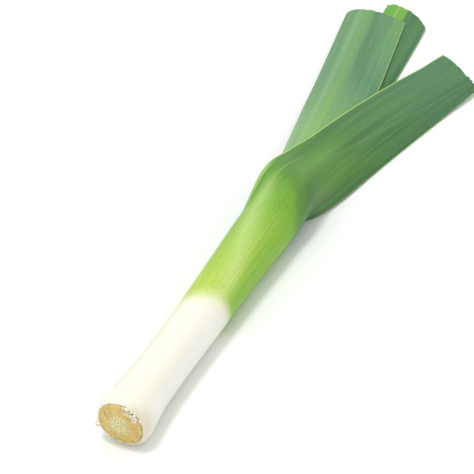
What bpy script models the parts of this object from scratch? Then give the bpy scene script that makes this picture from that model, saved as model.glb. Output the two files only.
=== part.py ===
# Leek, lying on a flat surface. Metres, +Z up, +X from the root end towards the leaves, +Y to the left.
# The origin is on the surface it lies on, under the middle of the shank's flat strip.
import math
import random

import bmesh
import bpy
import numpy as np

# Overall sizes
SHANK_LENGTH = 0.2150
STRIP_MIDDLE = 0.1100
FLAT_DEPTH = 0.0006
JOIN_GAP = 0.0003
LEAF_GAP = 0.0005
LEAF_WALL = 0.0009
KEEL_EXTRA = 0.0004
HALF_SLIT = 0.0004

# Shank: distance from the root end, radius
SHANK_PROFILE = [
    (0.0000, 0.0152),
    (0.0006, 0.0164),
    (0.0022, 0.0176),
    (0.0055, 0.0184),
    (0.0100, 0.0186),
    (0.0200, 0.0180),
    (0.0350, 0.0173),
    (0.0550, 0.0169),
    (0.0750, 0.0168),
    (0.1000, 0.0171),
    (0.1250, 0.0175),
    (0.1500, 0.0181),
    (0.1700, 0.0187),
    (0.2150, 0.0197),
]
ROUND_END = 0.0100
SHANK_SIDES = 48
SHANK_RINGS = 24

# Root plate: a low dome with cut root stubs
PLATE_RADIUS = 0.0150
PLATE_THICK = 0.0015
PLATE_DOME = 0.0022
STUB_COUNT = 125
STUB_SIDES = 5
STUB_SINK = 0.0009
SEED = 7

# Leaves, outermost first. Lengths in metres, angles in degrees.
# side: the rank the keel stands on, 1 left and -1 right
# depth: how much thinner the sheath is than the shank
# start, tip: where the sheath opens and where the blade is cut, measured from the root end
# up, low: the half above the keel and the half below it
LEAVES = {
    "leaf_outer": dict(
        side=-1, depth=0.0005, start=0.2243, tip=0.5038, open_len=0.095, wide_len=0.080,
        w_up=0.0415, w_low=0.0255, w_tip=0.666, curl_up=0.0729, curl_low=0.070, fold=9.0,
        yaw=-10.42, yaw_late=-9.59, yaw_len=0.100, pitch=0.0, pitch_late=0.0,
        turn=51.6, turn_len=0.115, slant=0.0019, rests=True,
    ),
    "leaf_middle": dict(
        side=1, depth=0.0040, start=0.2011, tip=0.5585, open_len=0.2322, wide_len=0.0848,
        w_up=0.0415, w_low=0.0178, w_tip=0.97, curl_up=0.0643, curl_low=0.0457, fold=5.0,
        yaw=10.17, yaw_late=-1.14, yaw_len=0.130, pitch=-7.58, pitch_late=8.90,
        turn=-71.2, turn_len=0.130, slant=0.0080, rests=False,
    ),
    "leaf_inner": dict(
        side=-1, depth=0.0074, start=0.2500, tip=0.5665, open_len=0.126, wide_len=0.126,
        w_up=0.0480, w_low=0.0232, w_tip=0.90, curl_up=0.0301, curl_low=0.0376, fold=71.5,
        yaw=0.80, yaw_late=3.85, yaw_len=0.120, pitch=-5.00, pitch_late=6.42,
        turn=-34.8, turn_len=0.136, slant=-0.0150, rests=False,
    ),
}
LEAF_ROWS = 44
LEAF_COLS = 17
LATE_LENGTH = 0.20

COLOURS = {
    "root_plate": (0.62, 0.47, 0.20, 1.0),
    "shank": (0.84, 0.87, 0.66, 1.0),
    "leaf_outer": (0.09, 0.27, 0.08, 1.0),
    "leaf_middle": (0.19, 0.42, 0.18, 1.0),
    "leaf_inner": (0.10, 0.28, 0.08, 1.0),
}


def ease(x):
    x = np.clip(x, 0.0, 1.0)
    return x * x * (3.0 - 2.0 * x)


def ease_out(x):
    x = np.clip(x, 0.0, 1.0)
    return x * (2.0 - x)


def mix(a, b, x):
    return a + (b - a) * x


def shank_radius(s):
    at, radius = np.array(SHANK_PROFILE).T
    return np.interp(s, at, radius)


def shank_centre(s):
    """Height of the shank's axis: its radius, less the flattening underneath. Level over the rounded root end."""
    flat = FLAT_DEPTH * (1.0 - ease((s - 0.165) / 0.045))
    return shank_radius(np.maximum(s, ROUND_END)) - flat


def clear_scene():
    for thing in list(bpy.data.objects):
        bpy.data.objects.remove(thing, do_unlink=True)
    for mesh in list(bpy.data.meshes):
        bpy.data.meshes.remove(mesh)


def material(name):
    mat = bpy.data.materials.new(name)
    mat.use_nodes = True
    surface = mat.node_tree.nodes["Principled BSDF"]
    surface.inputs["Base Color"].default_value = COLOURS[name]
    surface.inputs["Roughness"].default_value = 0.5
    mat.diffuse_color = COLOURS[name]
    return mat


def add_object(name, verts, faces):
    mesh = bpy.data.meshes.new(name)
    mesh.from_pydata([tuple(v) for v in verts], [], faces)
    mesh.update()
    body = bmesh.new()
    body.from_mesh(mesh)
    bmesh.ops.triangulate(body, faces=[f for f in body.faces if len(f.verts) > 3])
    bmesh.ops.recalc_face_normals(body, faces=body.faces)
    if body.calc_volume(signed=True) < 0:
        bmesh.ops.reverse_faces(body, faces=body.faces)
    body.to_mesh(mesh)
    body.free()
    thing = bpy.data.objects.new(name, mesh)
    bpy.context.scene.collection.objects.link(thing)
    return thing


def finish_object(thing, name, angle):
    bpy.ops.object.select_all(action="DESELECT")
    thing.select_set(True)
    bpy.context.view_layer.objects.active = thing
    bpy.ops.object.shade_smooth_by_angle(angle=math.radians(angle))
    thing.data.materials.clear()
    thing.data.materials.append(material(name))
    thing.name = name
    thing.data.name = name


def make_shank():
    """The tight roll of leaf sheaths, one closed round bar with a narrow flat strip underneath."""
    along = [s for s, r in SHANK_PROFILE if s < 0.012]
    along += list(np.linspace(0.016, SHANK_LENGTH, SHANK_RINGS))
    around = np.linspace(0.0, 2.0 * math.pi, SHANK_SIDES, endpoint=False)
    verts = []
    for s in along:
        r = float(shank_radius(s))
        centre = float(shank_centre(s))
        for angle in around:
            z = max(0.0, centre + r * math.cos(angle))
            verts.append((s - STRIP_MIDDLE, r * math.sin(angle), z))
    faces = []
    for i in range(len(along) - 1):
        for j in range(SHANK_SIDES):
            k = (j + 1) % SHANK_SIDES
            a = i * SHANK_SIDES
            b = a + SHANK_SIDES
            faces.append((a + j, a + k, b + k))
            faces.append((a + j, b + k, b + j))
    for ring, centre_s in ((0, along[0]), ((len(along) - 1) * SHANK_SIDES, along[-1])):
        middle = len(verts)
        verts.append((centre_s - STRIP_MIDDLE, 0.0, float(shank_centre(centre_s))))
        for j in range(SHANK_SIDES):
            faces.append((middle, ring + j, ring + (j + 1) % SHANK_SIDES))
    thing = add_object("shank", verts, faces)
    finish_object(thing, "shank", 40)
    return thing


def leaf_sheet(p):
    """Middle surface of a leaf: rows along it, columns from its lower margin over the keel to its upper one."""
    foot = SHANK_LENGTH + LEAF_GAP
    s = np.linspace(foot, p["tip"], LEAF_ROWS)
    step = s[1] - s[0]
    past = s - p["start"]
    late = (past - p["yaw_len"]) / LATE_LENGTH
    yaw = np.radians(p["yaw"]) * ease(past / p["yaw_len"]) + np.radians(p["yaw_late"]) * ease(late)
    pitch = np.radians(p["pitch"]) * ease(past / p["yaw_len"]) + np.radians(p["pitch_late"]) * ease(late)
    heading = np.stack([np.cos(yaw) * np.cos(pitch), np.sin(yaw) * np.cos(pitch), np.sin(pitch)], 1)
    left = np.cross([0.0, 0.0, 1.0], heading)
    left /= np.linalg.norm(left, axis=1)[:, None]
    above = np.cross(heading, left)
    around = np.radians(p["side"] * 90.0 + p["turn"] * ease(past / p["turn_len"]))
    out = above * np.cos(around)[:, None] + left * np.sin(around)[:, None]
    across = -p["side"] * (left * np.cos(around)[:, None] - above * np.sin(around)[:, None])
    r = float(shank_radius(SHANK_LENGTH)) - p["depth"]
    path = np.vstack([[0.0, 0.0, 0.0], np.cumsum((heading[1:] + heading[:-1]) / 2.0 * step, 0)])
    middle = np.array([foot, 0.0, float(shank_radius(SHANK_LENGTH))]) + path
    keel = middle + r * out
    opened = ease(past / p["open_len"])
    wide = ease_out(past / p["wide_len"])
    taper = mix(1.0, p["w_tip"], np.clip(past / (p["tip"] - p["start"]), 0.0, 1.0))
    width_up = mix(math.pi * r - HALF_SLIT, p["w_up"] * taper, wide)
    width_low = mix(math.pi * r - HALF_SLIT, p["w_low"] * taper, wide)
    t = np.linspace(-1.0, 1.0, LEAF_COLS)
    rows = []
    for i in range(LEAF_ROWS):
        arc = np.where(t > 0, t * width_up[i], -t * width_low[i])
        curl_up = mix(1.0 / r, 1.0 / p["curl_up"], opened[i])
        curl_low = mix(1.0 / r, 1.0 / p["curl_low"], opened[i])
        curl = np.where(t > 0, curl_up, curl_low)
        fold = np.radians(p["fold"]) * opened[i]
        sideways = np.sign(t) * (np.sin(fold + curl * arc) - np.sin(fold)) / curl
        inward = (np.cos(fold) - np.cos(fold + curl * arc)) / curl
        skew = -p["slant"] * t * i / (LEAF_ROWS - 1)
        row = keel[i] + across[i] * sideways[:, None] - out[i] * inward[:, None] + heading[i] * skew[:, None]
        rows.append(row)
    return t, np.array(rows)


def make_leaf(name):
    """A leaf as one closed sheet of even thickness, with a slightly thicker keel."""
    p = LEAVES[name]
    t, sheet = leaf_sheet(p)
    normal = np.cross(np.gradient(sheet, axis=0), np.gradient(sheet, axis=1))
    normal /= np.linalg.norm(normal, axis=2)[..., None]
    half = (LEAF_WALL + KEEL_EXTRA * np.exp(-((t / 0.11) ** 2))) / 2.0
    face_a = sheet + normal * half[None, :, None]
    face_b = sheet - normal * half[None, :, None]
    if p["rests"]:
        for i in range(LEAF_ROWS):
            low = min(face_a[i, :, 2].min(), face_b[i, :, 2].min())
            face_a[i, :, 2] -= low
            face_b[i, :, 2] -= low
    verts = np.concatenate([face_a.reshape(-1, 3), face_b.reshape(-1, 3)])
    verts[:, 0] -= STRIP_MIDDLE
    count = LEAF_ROWS * LEAF_COLS
    index = np.arange(count).reshape(LEAF_ROWS, LEAF_COLS)
    faces = []
    for i in range(LEAF_ROWS - 1):
        for j in range(LEAF_COLS - 1):
            a = int(index[i, j])
            b = int(index[i, j + 1])
            c = int(index[i + 1, j + 1])
            d = int(index[i + 1, j])
            faces.append((a, c, b))
            faces.append((a, d, c))
            faces.append((a + count, b + count, c + count))
            faces.append((a + count, c + count, d + count))
    rim = list(index[0])
    rim += list(index[1:, -1])
    rim += list(index[-1, -2::-1])
    rim += list(index[-2:0:-1, 0])
    for k in range(len(rim)):
        a = int(rim[k])
        b = int(rim[(k + 1) % len(rim)])
        faces.append((a, b, b + count))
        faces.append((a, b + count, a + count))
    thing = add_object(name, verts, faces)
    finish_object(thing, name, 50)
    return thing


def plate_height(d):
    """How far the dome stands out of the shank's end at distance d from its middle."""
    return PLATE_THICK + PLATE_DOME * (1.0 - min(1.0, d / PLATE_RADIUS) ** 2)


def make_dome(centre_z):
    rings = [0.30, 0.58, 0.82, 0.95, 1.0]
    sides = 36
    face = -JOIN_GAP - STRIP_MIDDLE
    verts = [(face - plate_height(0.0), 0.0, centre_z)]
    for share in rings:
        d = PLATE_RADIUS * share
        for j in range(sides):
            angle = 2.0 * math.pi * j / sides
            x = face - plate_height(d)
            verts.append((x, d * math.sin(angle), centre_z + d * math.cos(angle)))
    base = len(verts)
    for j in range(sides):
        angle = 2.0 * math.pi * j / sides
        verts.append((face, PLATE_RADIUS * math.sin(angle), centre_z + PLATE_RADIUS * math.cos(angle)))
    verts.append((face, 0.0, centre_z))
    faces = []
    for j in range(sides):
        k = (j + 1) % sides
        faces.append((0, 1 + j, 1 + k))
        for ring in range(len(rings) - 1):
            a = 1 + ring * sides
            b = a + sides
            faces.append((a + j, b + j, b + k))
            faces.append((a + j, b + k, a + k))
        last = 1 + (len(rings) - 1) * sides
        faces.append((last + j, base + j, base + k))
        faces.append((last + j, base + k, last + k))
        faces.append((base + sides, base + k, base + j))
    return add_object("root_plate", verts, faces)


def stub_mesh(foot, direction, length, width, turn):
    """A short cut root: a tapered prism with a slanted end, sunk in the plate."""
    direction = direction / np.linalg.norm(direction)
    side = np.cross(direction, [0.0, 0.0, 1.0])
    side /= np.linalg.norm(side)
    other = np.cross(side, direction)
    verts = []
    for at, scale in ((-STUB_SINK, 1.0), (length, 0.72)):
        for k in range(STUB_SIDES):
            angle = turn + 2.0 * math.pi * k / STUB_SIDES
            offset = side * math.cos(angle) + other * math.sin(angle)
            tilt = 0.25 * width * math.sin(angle) if at > 0 else 0.0
            verts.append(foot + direction * (at + tilt) + offset * width * scale)
    faces = [tuple(range(STUB_SIDES)), tuple(range(2 * STUB_SIDES - 1, STUB_SIDES - 1, -1))]
    for k in range(STUB_SIDES):
        n = (k + 1) % STUB_SIDES
        faces.append((k, k + STUB_SIDES, n + STUB_SIDES))
        faces.append((k, n + STUB_SIDES, n))
    return verts, faces


def make_root_plate():
    """The plate the roots grow from, with the roots cut short, all one solid."""
    chance = random.Random(SEED)
    centre_z = float(shank_centre(0.0))
    plate = make_dome(centre_z)
    stubs = bpy.data.collections.new("stubs")
    bpy.context.scene.collection.children.link(stubs)
    golden = math.pi * (3.0 - math.sqrt(5.0))
    for k in range(STUB_COUNT):
        share = math.sqrt((k + 0.5) / STUB_COUNT)
        d = PLATE_RADIUS * 0.93 * share + chance.uniform(-0.0003, 0.0003)
        angle = k * golden + chance.uniform(-0.10, 0.10)
        length = mix(0.0009, 0.0030, share ** 2) * chance.uniform(0.6, 1.25)
        width = chance.uniform(0.00055, 0.00095)
        lean = mix(0.10, 0.75, share ** 2) * chance.uniform(0.7, 1.2)
        radial = np.array([0.0, math.sin(angle), math.cos(angle)])
        foot = np.array([-JOIN_GAP - STRIP_MIDDLE - plate_height(d), 0.0, centre_z]) + radial * d
        direction = np.array([-1.0, 0.0, 0.0]) + radial * lean
        verts, faces = stub_mesh(foot, direction, length, width, chance.uniform(0.0, 1.2))
        stub = add_object("stub", verts, faces)
        bpy.context.scene.collection.objects.unlink(stub)
        stubs.objects.link(stub)
    join = plate.modifiers.new("join_stubs", "BOOLEAN")
    join.operation = "UNION"
    join.solver = "MANIFOLD"
    join.operand_type = "COLLECTION"
    join.collection = stubs
    bpy.ops.object.select_all(action="DESELECT")
    plate.select_set(True)
    bpy.context.view_layer.objects.active = plate
    bpy.ops.object.modifier_apply(modifier=join.name)
    for stub in list(stubs.objects):
        bpy.data.objects.remove(stub, do_unlink=True)
    bpy.data.collections.remove(stubs)
    finish_object(plate, "root_plate", 35)
    return plate


clear_scene()
make_root_plate()
make_shank()
for leaf_name in LEAVES:
    make_leaf(leaf_name)
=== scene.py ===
# %% [markdown]
# # A trimmed leek on a white table
# A leek is a roll of leaves. Each leaf starts as a closed tube round the younger ones, the tubes together
# are the white shank, and higher up each tube opens along one side and becomes a flat green blade. We load
# the measured solids first, because every piece has to sit exactly where they are.

# %% Load the solids
import math
import random

import bpy
import numpy as np
from mathutils import Matrix, Vector, noise


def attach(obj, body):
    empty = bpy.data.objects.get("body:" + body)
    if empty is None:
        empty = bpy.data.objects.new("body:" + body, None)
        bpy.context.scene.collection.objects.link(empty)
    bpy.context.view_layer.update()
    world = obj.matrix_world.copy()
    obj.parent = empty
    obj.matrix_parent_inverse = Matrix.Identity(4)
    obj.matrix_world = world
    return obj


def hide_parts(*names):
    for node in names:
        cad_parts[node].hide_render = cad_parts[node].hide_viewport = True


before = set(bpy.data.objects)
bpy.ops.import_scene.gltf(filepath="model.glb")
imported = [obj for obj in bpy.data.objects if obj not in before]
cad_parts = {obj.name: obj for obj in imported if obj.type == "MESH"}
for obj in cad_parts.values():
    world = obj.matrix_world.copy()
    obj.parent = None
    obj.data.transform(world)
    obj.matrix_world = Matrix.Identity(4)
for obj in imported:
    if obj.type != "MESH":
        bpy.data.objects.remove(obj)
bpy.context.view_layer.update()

# %% [markdown]
# ## Sizes
# Distances along the leek are counted from the root end, in metres, and the middle of the shank's flat
# underside is the origin. The profile gives the radius of the shank: a rounded bulb, a thinner waist, and a
# wider top where the leaves part. The leaves follow the solids, so their numbers are the same ones. In them
# depth is how much smaller the leaf's tube is than the outermost, curl is the radius to which each side of
# the blade flattens, and yaw, pitch, turn and fold are angles in degrees.

# %% Sizes of the shank and the leaves
SHANK_LENGTH = 0.2150
ORIGIN_AT = 0.1100
FLAT_DEPTH = 0.0006
ROUND_END = 0.0100
WALL = 0.0009
SLIT = 0.0004
TOP_RADIUS = 0.0197
SHANK_PROFILE = [
    (0.0000, 0.0152), (0.0006, 0.0164), (0.0022, 0.0176), (0.0055, 0.0184), (0.0100, 0.0186),
    (0.0200, 0.0180), (0.0350, 0.0173), (0.0550, 0.0169), (0.0750, 0.0168), (0.1000, 0.0171),
    (0.1250, 0.0175), (0.1500, 0.0181), (0.1700, 0.0187), (0.2150, 0.0197),
]
OUTER = dict(
    side=-1, depth=0.0005, start=0.2243, tip=0.5038, open_len=0.095, wide_len=0.080,
    w_up=0.0415, w_low=0.0255, w_tip=0.666, curl_up=0.0729, curl_low=0.070, fold=9.0,
    yaw=-10.42, yaw_late=-9.59, yaw_len=0.100, pitch=0.0, pitch_late=0.0,
    turn=51.6, turn_len=0.115, slant=0.0019,
)
MIDDLE = dict(
    side=1, depth=0.0040, start=0.2011, tip=0.5585, open_len=0.2322, wide_len=0.0848,
    w_up=0.0415, w_low=0.0178, w_tip=0.97, curl_up=0.0643, curl_low=0.0457, fold=5.0,
    yaw=10.17, yaw_late=-1.14, yaw_len=0.130, pitch=-7.58, pitch_late=8.90,
    turn=-71.2, turn_len=0.130, slant=0.0080,
)
INNER = dict(
    side=-1, depth=0.0074, start=0.2500, tip=0.5665, open_len=0.126, wide_len=0.126,
    w_up=0.0480, w_low=0.0232, w_tip=0.90, curl_up=0.0301, curl_low=0.0376, fold=71.5,
    yaw=0.80, yaw_late=3.85, yaw_len=0.120, pitch=-5.00, pitch_late=6.42,
    turn=-34.8, turn_len=0.136, slant=-0.0150,
)
LATE_LENGTH = 0.20
print("leaf tips at", [leaf["tip"] for leaf in (OUTER, MIDDLE, INNER)])

# %% [markdown]
# ## How a leaf unrolls
# A leaf is easiest to think of as a sheet with two directions: along it, and across it from one margin over
# the keel to the other. At the bottom the section is a full circle. As it opens, the bend of the section
# eases from the tube's radius to a much larger one, the width narrows to that of the blade, and the keel
# turns and leans away from the axis. So one function gives any point of any leaf, and a flat grid can be
# laid on it row by row.


# %% Easing and the shank's outline
def ease(x):
    x = np.clip(x, 0.0, 1.0)
    return x * x * (3.0 - 2.0 * x)


def ease_out(x):
    x = np.clip(x, 0.0, 1.0)
    return x * (2.0 - x)


def mix(a, b, x):
    return a + (b - a) * x


def shank_radius(s):
    at, radius = np.array(SHANK_PROFILE).T
    return np.interp(s, at, radius)


def shank_centre(s):
    """Height of the shank's axis, so that its underside lies on the table with a narrow flat strip."""
    flat = FLAT_DEPTH * (1.0 - ease((s - 0.165) / 0.045))
    return shank_radius(np.maximum(s, ROUND_END)) - flat


print("waist", round(2000.0 * float(shank_radius(0.075)), 1), "mm across")


# %% The middle line of a leaf
def leaf_path(leaf, s):
    """Centre of the tube, and where the keel points and the blade spreads, at each distance s."""
    past = s - leaf["start"]
    late = (past - leaf["yaw_len"]) / LATE_LENGTH
    bend = ease(past / leaf["yaw_len"])
    yaw = np.radians(leaf["yaw"] * bend + leaf["yaw_late"] * ease(late))
    pitch = np.radians(leaf["pitch"] * bend + leaf["pitch_late"] * ease(late))
    heading = np.stack([np.cos(yaw) * np.cos(pitch), np.sin(yaw) * np.cos(pitch), np.sin(pitch)], 1)
    left = np.cross([0.0, 0.0, 1.0], heading)
    left /= np.linalg.norm(left, axis=1)[:, None]
    above = np.cross(heading, left)
    around = np.radians(leaf["side"] * 90.0 + leaf["turn"] * ease(past / leaf["turn_len"]))[:, None]
    out = above * np.cos(around) + left * np.sin(around)
    across = -leaf["side"] * (left * np.cos(around) - above * np.sin(around))
    steps = (heading[1:] + heading[:-1]) / 2.0 * np.diff(s)[:, None]
    centre = np.vstack([[0.0, 0.0, 0.0], np.cumsum(steps, 0)]) + [s[0], 0.0, TOP_RADIUS]
    return centre, heading, out, across


# %% A leaf as rows and columns of points
KEEL_REACH = 0.13
KEEL_PASSES = 14


def round_the_keel(rows, t):
    """Average neighbouring columns near the keel, so that the fold there is round and not a crease."""
    near = np.exp(-((t / KEEL_REACH) ** 2))[None, :, None] * 0.5
    for _ in range(KEEL_PASSES):
        between = (rows[:, :-2] + rows[:, 2:]) / 2.0
        rows[:, 1:-1] += (between - rows[:, 1:-1]) * near[:, 1:-1]
    return rows


def leaf_rows(leaf, s, t, proud):
    """Points of the leaf's outer face. t is -1 at the lower margin, 0 at the keel, 1 at the upper margin."""
    centre, heading, out, across = leaf_path(leaf, s)
    r = TOP_RADIUS - leaf["depth"]
    past = s - leaf["start"]
    opened = ease(past / leaf["open_len"])
    wide = ease_out(past / leaf["wide_len"])
    taper = mix(1.0, leaf["w_tip"], np.clip(past / (leaf["tip"] - leaf["start"]), 0.0, 1.0))
    slit = SLIT * ease((s - s[0]) / 0.006)
    width_up = mix(math.pi * r - slit, leaf["w_up"] * taper, wide)[:, None]
    width_low = mix(math.pi * r - slit, leaf["w_low"] * taper, wide)[:, None]
    arc = np.where(t > 0, t * width_up, -t * width_low)
    wanted = np.where(t > 0, 1.0 / leaf["curl_up"], 1.0 / leaf["curl_low"])
    curl = mix(1.0 / r, wanted, opened[:, None])
    fold = np.radians(leaf["fold"]) * opened[:, None]
    sideways = np.sign(t) * (np.sin(fold + curl * arc) - np.sin(fold)) / curl
    inward = (np.cos(fold) - np.cos(fold + curl * arc)) / curl
    skew = -leaf["slant"] * t * ((s - s[0]) / (leaf["tip"] - s[0]))[:, None]
    rows = (centre + r * out)[:, None] + across[:, None] * sideways[..., None]
    rows = rows - out[:, None] * inward[..., None] + heading[:, None] * skew[..., None]
    rows = round_the_keel(rows, t)
    normal = np.cross(np.gradient(rows, axis=0), np.gradient(rows, axis=1))
    normal /= np.linalg.norm(normal, axis=2)[..., None]
    keel_column = len(t) // 2
    if normal[0, keel_column] @ out[0] < 0:
        normal = -normal
    return rows + normal * proud, normal


# %% [markdown]
# ## A grid laid on the leaf
# The sheet starts as Blender's own grid primitive, flat on the floor, and each of its points is moved to its
# place on the leaf. Its UV map then gets two numbers that the materials need: how far along the leaf a point
# is, in metres, and how far across, from 0 at one margin to 1 at the other. Solidify gives the wall its
# thickness, thinner at the margins, and three slots, so that the outer face, the inner face and the cut
# edges can differ.


# %% Selecting and editing
def deselect_all():
    bpy.ops.object.select_all(action="DESELECT")


def make_active(piece):
    deselect_all()
    piece.select_set(True)
    bpy.context.view_layer.objects.active = piece


def enter_edit(piece):
    make_active(piece)
    bpy.ops.object.mode_set(mode="EDIT")


def leave_edit():
    bpy.ops.object.mode_set(mode="OBJECT")


def smooth(piece, angle):
    """Smooth shading, with a hard edge where two faces meet at more than the angle in degrees."""
    make_active(piece)
    bpy.ops.object.shade_smooth_by_angle(angle=math.radians(angle))


# %% From a grid to a leaf
def add_grid(name, rows, cols):
    deselect_all()
    bpy.ops.mesh.primitive_grid_add(x_subdivisions=cols - 1, y_subdivisions=rows - 1, size=2.0,
                                    location=(0, 0, 0))
    piece = bpy.context.object
    piece.name = name
    piece.data.name = name
    return piece


def lay_grid(piece, points, along, across):
    """Move each grid point to its row and column, and write the leaf's two directions into the UV map."""
    rows, cols = points.shape[:2]
    mesh = piece.data
    flat = np.empty(len(mesh.vertices) * 3)
    mesh.vertices.foreach_get("co", flat)
    flat = flat.reshape(-1, 3)
    col = np.rint((flat[:, 0] + 1.0) / 2.0 * (cols - 1)).astype(int)
    row = np.rint((flat[:, 1] + 1.0) / 2.0 * (rows - 1)).astype(int)
    mesh.vertices.foreach_set("co", points[row, col].ravel())
    corner = np.empty(len(mesh.loops), dtype=int)
    mesh.loops.foreach_get("vertex_index", corner)
    uv = np.stack([along[row[corner]], across[col[corner]]], 1)
    mesh.uv_layers[0].data.foreach_set("uv", uv.ravel())
    mesh.uv_layers[0].name = "leaf"
    mesh.update()
    return row, col


def face_outwards(piece, row, col, outward):
    """Turn the sheet's faces over if its middle face looks against the outward direction there."""
    face = piece.data.polygons[len(piece.data.polygons) // 2]
    corner = face.vertices[0]
    wanted = Vector(outward[row[corner], col[corner]])
    if face.normal.dot(wanted) < 0:
        enter_edit(piece)
        bpy.ops.mesh.select_all(action="SELECT")
        bpy.ops.mesh.flip_normals()
        leave_edit()


def merge_closed_margins(piece, row, closed_rows):
    """Weld the two margins to each other where the sheet is still a closed tube."""
    enter_edit(piece)
    bpy.ops.mesh.select_all(action="DESELECT")
    leave_edit()
    for vertex in piece.data.vertices:
        vertex.select = bool(row[vertex.index] < closed_rows)
    enter_edit(piece)
    bpy.ops.mesh.remove_doubles(threshold=0.00002)
    leave_edit()


# %% The wall of a leaf
THIN_WIDTH = 0.003
THIN_SHARE = 0.4


def margin_share(points, t):
    """Share of the full wall at each point: thinner over the last three millimetres to a margin."""
    half_width = np.linalg.norm(np.diff(points, axis=1), axis=2).sum(1) / 2.0
    from_margin = (1.0 - np.abs(t))[None, :] * half_width[:, None]
    return THIN_SHARE + (1.0 - THIN_SHARE) * np.clip(from_margin / THIN_WIDTH, 0.0, 1.0)


def share_wall(piece, share):
    """How much of the full wall each point gets: a vertex group that Solidify reads."""
    group = piece.vertex_groups.new(name="wall")
    for index, value in enumerate(share):
        group.add([index], float(value), "REPLACE")


def give_wall(piece):
    """Solidify inwards. The three empty slots are for the outer face, the inner face and the cut edges."""
    for _ in range(3):
        piece.data.materials.append(None)
    solid = piece.modifiers.new("wall", "SOLIDIFY")
    solid.thickness = WALL
    solid.offset = -1.0
    solid.vertex_group = "wall"
    solid.use_rim = True
    solid.material_offset = 1
    solid.material_offset_rim = 2
    make_active(piece)
    bpy.ops.object.modifier_apply(modifier=solid.name)
    piece.vertex_groups.clear()
    smooth(piece, 50)


# %% [markdown]
# ## Small unevenness
# Nothing that grew is perfectly even. A few slow waves, laid over the sheet along its normals, take the
# machined look away: shallow pleats that follow the veins, a slight swelling here and there, and a cut end
# that is a little ragged, because a knife tears fibres. The waves and pleats stay under a quarter of a
# millimetre, so that nothing cuts through its neighbour.


# %% Waves, pleats and the keel's ridge
def slow_waves(s, t, seed):
    """A sum of long waves, up to about 1.4 high. It differs by leaf and joins up round a closed tube."""
    chance = random.Random(seed)
    total = np.zeros((len(s), len(t)))
    for _ in range(6):
        length = chance.uniform(0.05, 0.15)
        across = chance.choice([1, 2, 3])
        start = chance.uniform(0.0, 2.0 * math.pi)
        slope = chance.uniform(0.0, 2.0 * math.pi)
        along = np.sin(s[:, None] / length * 2.0 * math.pi + start)
        total += along * np.cos(across * math.pi * t[None, :] + slope)
    return total / 3.0


def pleats(s, t, seed):
    """Shallow lengthwise pleats. Their depth comes and goes slowly along the leaf."""
    chance = random.Random(seed)
    total = np.zeros((len(s), len(t)))
    for count in (7, 10, 13, 17):
        start = chance.uniform(0.0, 2.0 * math.pi)
        swell = 0.6 + 0.4 * np.sin(s / chance.uniform(0.10, 0.25) * 2.0 * math.pi + chance.uniform(0.0, 6.0))
        total += swell[:, None] * np.cos(count * math.pi * t + start)[None, :]
    return total / 3.0


def keel_ridge(t):
    return 0.0002 * np.exp(-((t / 0.11) ** 2))[None, :]


# %% Ragged ends
CUT_REACH = 0.014


def ragged(t, seed, size):
    """How much shorter each column is cut than the straight cut."""
    chance = random.Random(seed)
    knots = np.linspace(-1.0, 1.0, 31)
    steps = np.array([chance.uniform(0.0, 1.0) ** 2 for _ in knots])
    return -size * np.interp(t, knots, steps)


def cut_off(rows, s, t, seed, size, bow):
    """Pull the last rows back: by a ragged amount, and by bow more over the middle than at the margins."""
    end = rows[-1] - rows[-2]
    end /= np.linalg.norm(end, axis=1)[:, None]
    fade = ease((s - (s[-1] - CUT_REACH)) / CUT_REACH)
    back = ragged(t, seed, size) - bow * (1.0 - t ** 2)
    return rows + end[None] * (fade[:, None] * back[None, :])[..., None]


# %% [markdown]
# ## Shank and outer leaf
# The shank's skin and the outer leaf are one and the same leaf, so they are one sheet here: rows at the
# bottom turn in over the root end, then follow the shank's outline as a closed tube, and from the top of the
# shank on follow the leaf as it opens. Where the tube is closed its two margins are merged, so there is no
# seam to see. Three things make this leek the one it is: the collar swells by up to 2.7 mm where the leaf
# bends away, the root end bulges to its lower right, and the blade's two sides aren't equally wide all the
# way. Each is one short function that is added to the even shape.

# %% The closed tube and its uneven places
RIGHT = math.radians(-90.0)
COLLAR_SWELL = 0.0018
ROOT_BULGE = 0.0026
LIP_BULGE = 0.0020
UPPER_WIDENS = 0.0022
UPPER_REACH = 0.035
LOWER_SIDE = [
    (0.235, 0.0), (0.262, -0.0004), (0.300, -0.0028), (0.340, -0.0012), (0.390, 0.0014), (0.430, 0.0008),
    (0.465, -0.0020), (0.5038, -0.0052),
]


def tube_rows(s, t, radius, centre):
    angle = RIGHT + t[None, :] * math.pi
    height = np.maximum(0.0, centre[:, None] + radius * np.cos(angle))
    return np.stack([s[:, None] + 0.0 * angle, radius * np.sin(angle), height], -1)


def hill(x, middle, reach):
    """A smooth hill of height 1."""
    return np.exp(-(((x - middle) / reach) ** 2))


def collar(s, t):
    """The sheath swells on the side to which the outer leaf bends away, and most at its lower corner."""
    along = ease((s - 0.175) / 0.070) * (1.0 - ease((s - 0.245) / 0.040))
    side = COLLAR_SWELL * along[:, None] * hill(t, -0.12, 0.22)[None, :]
    corner = COLLAR_SWELL * hill(s, 0.254, 0.012)[:, None] * hill(t, -0.34, 0.22)[None, :]
    return side + corner


def lobe(t):
    """The root end bulges to its lower right. 1 there, 0 on the other sides."""
    return hill(t, -0.22, 0.24)


def stretch_sides(rows, even_rows, s, t):
    """Widen or narrow the blade: the full step at a margin, none at the keel, smoothed along the leaf."""
    window = 17
    along, lower_step = np.array(LOWER_SIDE).T
    step = np.pad(np.interp(s, along, lower_step), window // 2, mode="edge")
    step = np.convolve(step, np.full(window, 1.0 / window), mode="valid")
    upper = UPPER_WIDENS * ease((s - (s[-1] - UPPER_REACH)) / UPPER_REACH)
    shift = np.where(t > 0, upper[:, None] * t, step[:, None] * t)
    tangent = np.gradient(even_rows, axis=1)
    tangent /= np.linalg.norm(tangent, axis=2)[..., None]
    return rows + tangent * shift[..., None]


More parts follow.
